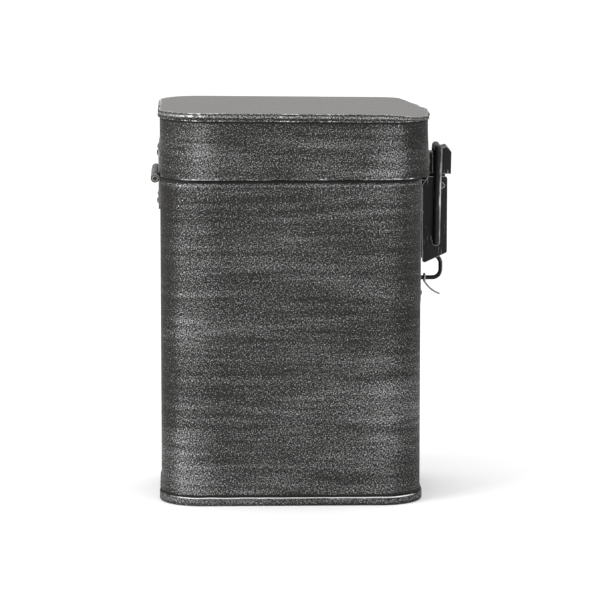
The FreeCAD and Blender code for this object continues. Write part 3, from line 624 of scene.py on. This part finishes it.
def wall_sheet(paint, inside):
    low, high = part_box("body_wall")
    high.y = -low.y
    sheet = Sheet()
    stops = (SEAM_HALF_WIDTH - SEAM_STEP, SEAM_HALF_WIDTH + SEAM_STEP)
    columns = outline(low, high, WALL_CORNER, stops)
    bead = high.z - BEAD_DROP
    mouth = high.z - EDGE_ROUND
    levels = [level for level in heights(low.z, mouth) if abs(level - bead) > BEAD_HALF_HEIGHT]
    levels += [bead + BEAD_HALF_HEIGHT * share for share in BEAD_SHARES]
    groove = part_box("base_cap")[1].z
    levels += [groove + GROOVE_HEIGHT * share for share in GROOVE_SHARES]
    levels.sort()

    def section(column):
        spots = []
        on_back = column.normal_y > 0.99
        seam = SEAM_PROUD if on_back and abs(column.x) < SEAM_HALF_WIDTH else 0.0
        # Extra rub near the corners paints highlight bands; paint kept whole on the turn paints shade
        rub = rub_and_painted_light_near_corner(
            column, low, high, WALL_HINGE_START, WALL_HINGE_HIGHLIGHT_RUB, WALL_LATCH_HIGHLIGHT_RUB, WALL_LATCH_TURN_SHADE,
        )
        for level in levels:
            fade = smooth(level, low.z, low.z + WALL_FOOT_FADE) * smooth(high.z - level, *WALL_MOUTH_FADE)
            out = WALL_WAVE * wave(column.at(0, level), WAVE_SIZE) * abs(column.normal_y) ** 2 * fade
            lift = 1 - smooth(abs(level - bead), 0, BEAD_HALF_HEIGHT)
            out += BEAD_PROUD * lift * abs(column.normal_y) + seam * smooth(high.z - level, *SEAM_FADE)
            # Painted shade: no rub just above the base's rim and just under the lid's edge, where the
            # joints are in shade
            painted_shade = PAINTED_SHADE * (1 - smooth(level, groove, groove + GROOVE_HEIGHT))
            painted_shade += PAINTED_SHADE * smooth(level, bead + BEAD_HALF_HEIGHT, mouth)
            foot = WALL_FOOT_RUB * (1 - smooth(level, low.z, low.z + WALL_FOOT_HEIGHT))
            spots.append((column.at(out, level), 0.0, rub + foot + BEAD_RUB * lift - painted_shade, 0))
        # The outer half of the mouth's round carries the painted shade under the lid; the inner half is
        # worn bright
        for out, level in edge_round(0, -WALL_SHEET, mouth, EDGE_ROUND):
            worn = out < -WALL_SHEET / 2
            spots.append((column.at(out, level), MOUTH_WEAR if worn else 0.0, rub if worn else -PAINTED_SHADE, 0))
        for level in reversed(heights(low.z, mouth)):
            spots.append((column.at(-WALL_SHEET, level), 0.0, 0.0, 1))
        spots.append((column.at(0, low.z), 0.0, 0.0, 1))
        return spots

    sheet.sweep(columns, section)
    return sheet.piece("wall_sheet", "box", "body_wall", [paint, inside])


def base_pan(paint, inside):
    low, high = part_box("base_cap")
    proud = BASE_RIM_SHEET + SOLDER_GAP
    sheet = Sheet()
    columns = outline(low, high, WALL_CORNER + proud)
    middle = (low + high) / 2

    def section(column):
        dip = RIM_WAVE * wave(column.at(0, 0), RIM_WAVE_SIZE)
        swell = SWELL_WAVE * wave(column.at(0, SWELL_SHIFT), WAVE_SIZE)
        top = high.z - EDGE_ROUND - RIM_WAVE + dip
        spots = []
        for step in range(ROUND_STEPS + 1):
            angle = step / ROUND_STEPS * math.pi / 2
            out = -BASE_ROUND * (1 - math.sin(angle))
            level = low.z + BASE_ROUND * (1 - math.cos(angle))
            spots.append((column.at(out, level), BASE_FOOT_WEAR, 0.0, 0))
        for share in BASE_RIM_SHARES:
            level = BASE_ROUND + (top - BASE_ROUND) * share
            spots.append((column.at(swell, level), 0.0, BASE_RIM_RUB, 0))
        fade = 1 - BASE_CORNER_FADE * smooth(abs(column.normal_x), *BASE_CORNER_TURN)
        spots.append((column.at(swell, top), BASE_SHOULDER_WEAR * fade, BASE_RIM_RUB, 0))
        for out, level in edge_round(swell, -BASE_RIM_SHEET, top, EDGE_ROUND):
            spots.append((column.at(out, level), BASE_EDGE_WEAR * fade, BASE_RIM_RUB, 0))
        spots.append((column.at(-BASE_RIM_SHEET, top), BASE_INNER_WEAR, 0.0, 1))
        spots.append((column.at(-BASE_RIM_SHEET, low.z + BASE_SHEET), 0.0, 0.0, 1))
        return spots

    lines = sheet.sweep(columns, section)
    sheet.panel([line[0] for line in lines], middle, lambda x, y: low.z, False)
    sheet.panel([line[-1] for line in lines], middle, lambda x, y: low.z + BASE_SHEET, True, 1)
    return sheet.piece("base_pan", "box", "base_cap", [paint, inside])


def lid_lean(column):
    """How much the lid leans in at this column: only at the latch side's corners, clear of the catch."""
    most = LID_BACK_LEAN if column.y > 0 else LID_FRONT_LEAN
    clear = smooth(abs(column.y), CATCH_CLEAR, CATCH_CLEAR + LEAN_FADE)
    return most * smooth(column.normal_x, *LEAN_TURN) * clear


lid_low, lid_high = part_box("lid_top")


def lid_drop(x):
    """How far the lid's top drops towards the latch."""
    return LID_SLOPE * (x - lid_low.x) / (lid_high.x - lid_low.x)


def end_droop(x, y):
    """How far the top bends down near the latch, below its slope: over less of its length at the back."""
    to_back = (y - lid_low.y) / (lid_high.y - lid_low.y)
    length = DROOP_FRONT_LENGTH + (DROOP_BACK_LENGTH - DROOP_FRONT_LENGTH) * to_back
    return LID_DROOP * smooth(x, lid_high.x - length, lid_high.x)


def lid_band(paint, inside):
    low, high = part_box("lid_skirt")
    sheet = Sheet()
    columns = outline(low, high, LID_CORNER)

    def section(column):
        # Extra rub near the corners paints highlight bands; paint kept whole on the turn paints shade
        rub = LID_RUB + rub_and_painted_light_near_corner(
            column, low, high, LID_HINGE_START, LID_HINGE_HIGHLIGHT_RUB, LID_LATCH_HIGHLIGHT_RUB, LID_LATCH_TURN_SHADE,
        )
        lean = lid_lean(column)
        drop = lid_drop(column.x)
        end_drop = end_droop(column.x, column.y)

        def bent(out, level):
            share = (level - low.z) / (high.z - low.z)
            droop = end_drop * smooth(level, lid_low.z, high.z)
            return column.at(out - lean * share, level - drop * share - droop)

        bottom = low.z + EDGE_ROUND
        levels = [bottom + rise for rise in LID_EDGE_ROWS]
        levels += heights(bottom + LID_ROWS_START, lid_low.z - RIM_SHADE)
        levels += [lid_low.z - RIM_SHADE / 2, lid_low.z, high.z]
        inner = [(bent(-LID_SHEET, level), 0.0, 0.0, 1) for level in reversed(heights(bottom, high.z))]
        edge_wear = LID_EDGE_WEAR * abs(column.normal_y)
        edge = [
            (column.at(out, level), edge_wear, rub, 0)
            for out, level in reversed(edge_round(0, -LID_SHEET, bottom, -EDGE_ROUND))
        ]
        outer = []
        for level in levels:
            share = (level - low.z) / (high.z - low.z)
            fade = smooth(share, *LID_FADE_SHARES) * smooth(1 - share, *LID_FADE_SHARES)
            bulge = WALL_WAVE * wave(column.at(LID_WAVE_SHIFT, level), WAVE_SIZE)
            wear = LID_NEAR_EDGE_WEAR * (1 - smooth(level, bottom, bottom + LID_WEAR_HEIGHT))
            # Painted shade: no rub at the top of the band, just under the top's rim
            painted_shade = PAINTED_SHADE * smooth(level, lid_low.z - RIM_SHADE, lid_low.z - RIM_SHADE / 2)
            outer.append((bent(bulge * abs(column.normal_y) ** 2 * fade, level), wear, rub - painted_shade, 0))
        return inner + edge + outer

    sheet.sweep(columns, section)
    return sheet.piece("lid_band", "lid", "lid_skirt", [paint, inside])


def lid_panel(paint, top, inside):
    low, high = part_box("lid_top")
    proud = TOP_RIM_SHEET + SOLDER_GAP
    sheet = Sheet()
    columns = outline(low, high, LID_CORNER + proud)
    middle = (low + high) / 2

    def level_at(x, y):
        inset = min(x - low.x, high.x - x, y - low.y, high.y - y)
        crown = PANEL_WAVE * wave((x, y, 0), PANEL_WAVE_SIZE) * smooth(inset, 0, PANEL_FADE)
        return high.z - PANEL_WAVE + crown - lid_drop(x) - end_droop(x, y)

    def section(column):
        lean = lid_lean(column)
        drop = lid_drop(column.x)
        dip = RIM_WAVE * wave(column.at(LID_RIM_SHIFT, 0), RIM_WAVE_SIZE)
        ceiling = level_at(column.x, column.y)
        bottom = low.z - drop + EDGE_ROUND + dip
        rim_height = ceiling - TOP_ROUND - bottom
        spots = [(column.at(-TOP_RIM_SHEET - lean, ceiling - TOP_SHEET), 0.0, 0.0, 2)]
        spots.append((column.at(-TOP_RIM_SHEET - lean, bottom), TOP_INNER_WEAR, 0.0, 2))
        for out, level in reversed(edge_round(0, -TOP_RIM_SHEET, bottom, -EDGE_ROUND)):
            spots.append((column.at(out - lean, level), TOP_EDGE_WEAR, TOP_EDGE_RUB, 0))
        for share, wear, rub in TOP_RIM_ROWS:
            spots.append((column.at(-lean, bottom + rim_height * share), wear, rub, 0))
        for step in range(ROUND_STEPS + 1):
            angle = step / ROUND_STEPS * math.pi / 2
            out = -TOP_ROUND * (1 - math.cos(angle))
            place = column.at(out - lean, ceiling - TOP_ROUND * (1 - math.sin(angle)))
            spots.append((place, TOP_ROUND_WEAR[step], TOP_ROUND_RUB[step], 0))
        return spots

    lines = sheet.sweep(columns, section)
    sheet.panel([line[-1] for line in lines], middle, level_at, True, 1)
    sheet.panel([line[0] for line in lines], middle, lambda x, y: level_at(x, y) - TOP_SHEET, False, 2)
    return sheet.piece("lid_panel", "lid", "lid_top", [paint, top, inside])


def dress(material, names, soften=0.0):
    """Gives CAD nodes a finish and, where asked, softly broken edges."""
    for name in names:
        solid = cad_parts[name]
        solid.data.materials.clear()
        solid.data.materials.append(material)
        if soften:
            weld = solid.modifiers.new("weld", "WELD")
            weld.merge_threshold = WELD_DISTANCE
            bevel = solid.modifiers.new("soft_edges", "BEVEL")
            bevel.width = soften
            bevel.segments = BEVEL_SEGMENTS
            bevel.limit_method = "ANGLE"
            bevel.angle_limit = BEVEL_ANGLE


def floor():
    reach = FLOOR_REACH
    corners = [(-reach, -reach, 0), (reach, -reach, 0), (reach, reach, 0), (-reach, reach, 0)]
    mesh = bpy.data.meshes.new("floor")
    mesh.from_pydata(corners, [], [(0, 1, 2, 3)])
    look = Shader("floor_paper")
    grain = look.noise(look.object_place(), scale=900, detail=2.0)
    look.set(
        Base_Color=look.blend(grain, grey(0.93), grey(0.95)),
        Roughness=0.9,
        Specular_IOR_Level=0.1,
        Normal=look.bump(grain, 0.03, FINE_RELIEF),
    )
    mesh.materials.append(look.material)
    made = bpy.data.objects.new("floor", mesh)
    bpy.context.scene.collection.objects.link(made)


def softbox(name, place, width, height, power):
    data = bpy.data.lights.new(name, "AREA")
    data.shape = "RECTANGLE"
    data.size = width
    data.size_y = height
    data.energy = power
    made = bpy.data.objects.new(name, data)
    made.location = place
    made.rotation_euler = (Vector(SOFTBOX_TARGET) - Vector(place)).to_track_quat("-Z", "Y").to_euler()
    bpy.context.scene.collection.objects.link(made)


def studio():
    world = bpy.data.worlds.new("studio")
    bpy.context.scene.world = world
    world.use_nodes = True
    nodes = world.node_tree.nodes
    background = nodes["Background"]
    background.inputs["Color"].default_value = grey(1.0)
    place = nodes.new("ShaderNodeTexCoord")
    split = nodes.new("ShaderNodeSeparateXYZ")
    light = nodes.new("ShaderNodeMapRange")
    light.inputs["To Min"].default_value = HORIZON_LIGHT
    light.inputs["To Max"].default_value = ZENITH_LIGHT
    links = world.node_tree.links
    links.new(place.outputs["Generated"], split.inputs["Vector"])
    links.new(split.outputs["Z"], light.inputs["Value"])
    links.new(light.outputs["Result"], background.inputs["Strength"])
    softbox("left_softbox", *LEFT_SOFTBOX)
    softbox("right_softbox", *RIGHT_SOFTBOX)
    bpy.context.scene.view_settings.view_transform = "Standard"


def camera():
    data = bpy.data.cameras.new("camera")
    data.sensor_width = SENSOR
    data.lens = LENS
    made = bpy.data.objects.new("camera", data)
    back = Vector((
        math.sin(CAMERA_TURN) * math.cos(CAMERA_RISE),
        -math.cos(CAMERA_TURN) * math.cos(CAMERA_RISE),
        math.sin(CAMERA_RISE),
    ))
    made.location = CAMERA_TARGET + back * CAMERA_DISTANCE
    made.rotation_euler = (-back).to_track_quat("-Z", "Y").to_euler()
    bpy.context.scene.collection.objects.link(made)
    bpy.context.scene.camera = made


paint = rubbed_paint()
inside = inner_paint(True)
wall_sheet(paint, inside)
base_pan(paint, inside)
lid_band(paint, inside)
lid_panel(paint, top_paint_with_painted_sheen(), inside)
dress(inner_paint(False), ["mouth_collar"])
dress(latch_paint("latch_paint"), ["latch_base", "latch_lever", "bail_tab", "catch_plate"], LATCH_SOFTEN)
dress(latch_paint("wire_paint", 0.9), ["bail", "padlock_staple"])
dress(worn_steel("hinge_steel", 0.015, 0.5, 0.66), [
    "body_hinge_leaf", "lid_hinge_leaf", "hinge_pin",
], HINGE_SOFTEN)
dress(worn_steel("rivet_steel", 0.02, 0.45, 0.95), [
    "body_hinge_rivets", "lid_hinge_rivets", "latch_rivets", "catch_rivets", "lever_pin",
])
dress(bright_wire(), ["keeper_wire"])
floor()
studio()
camera()
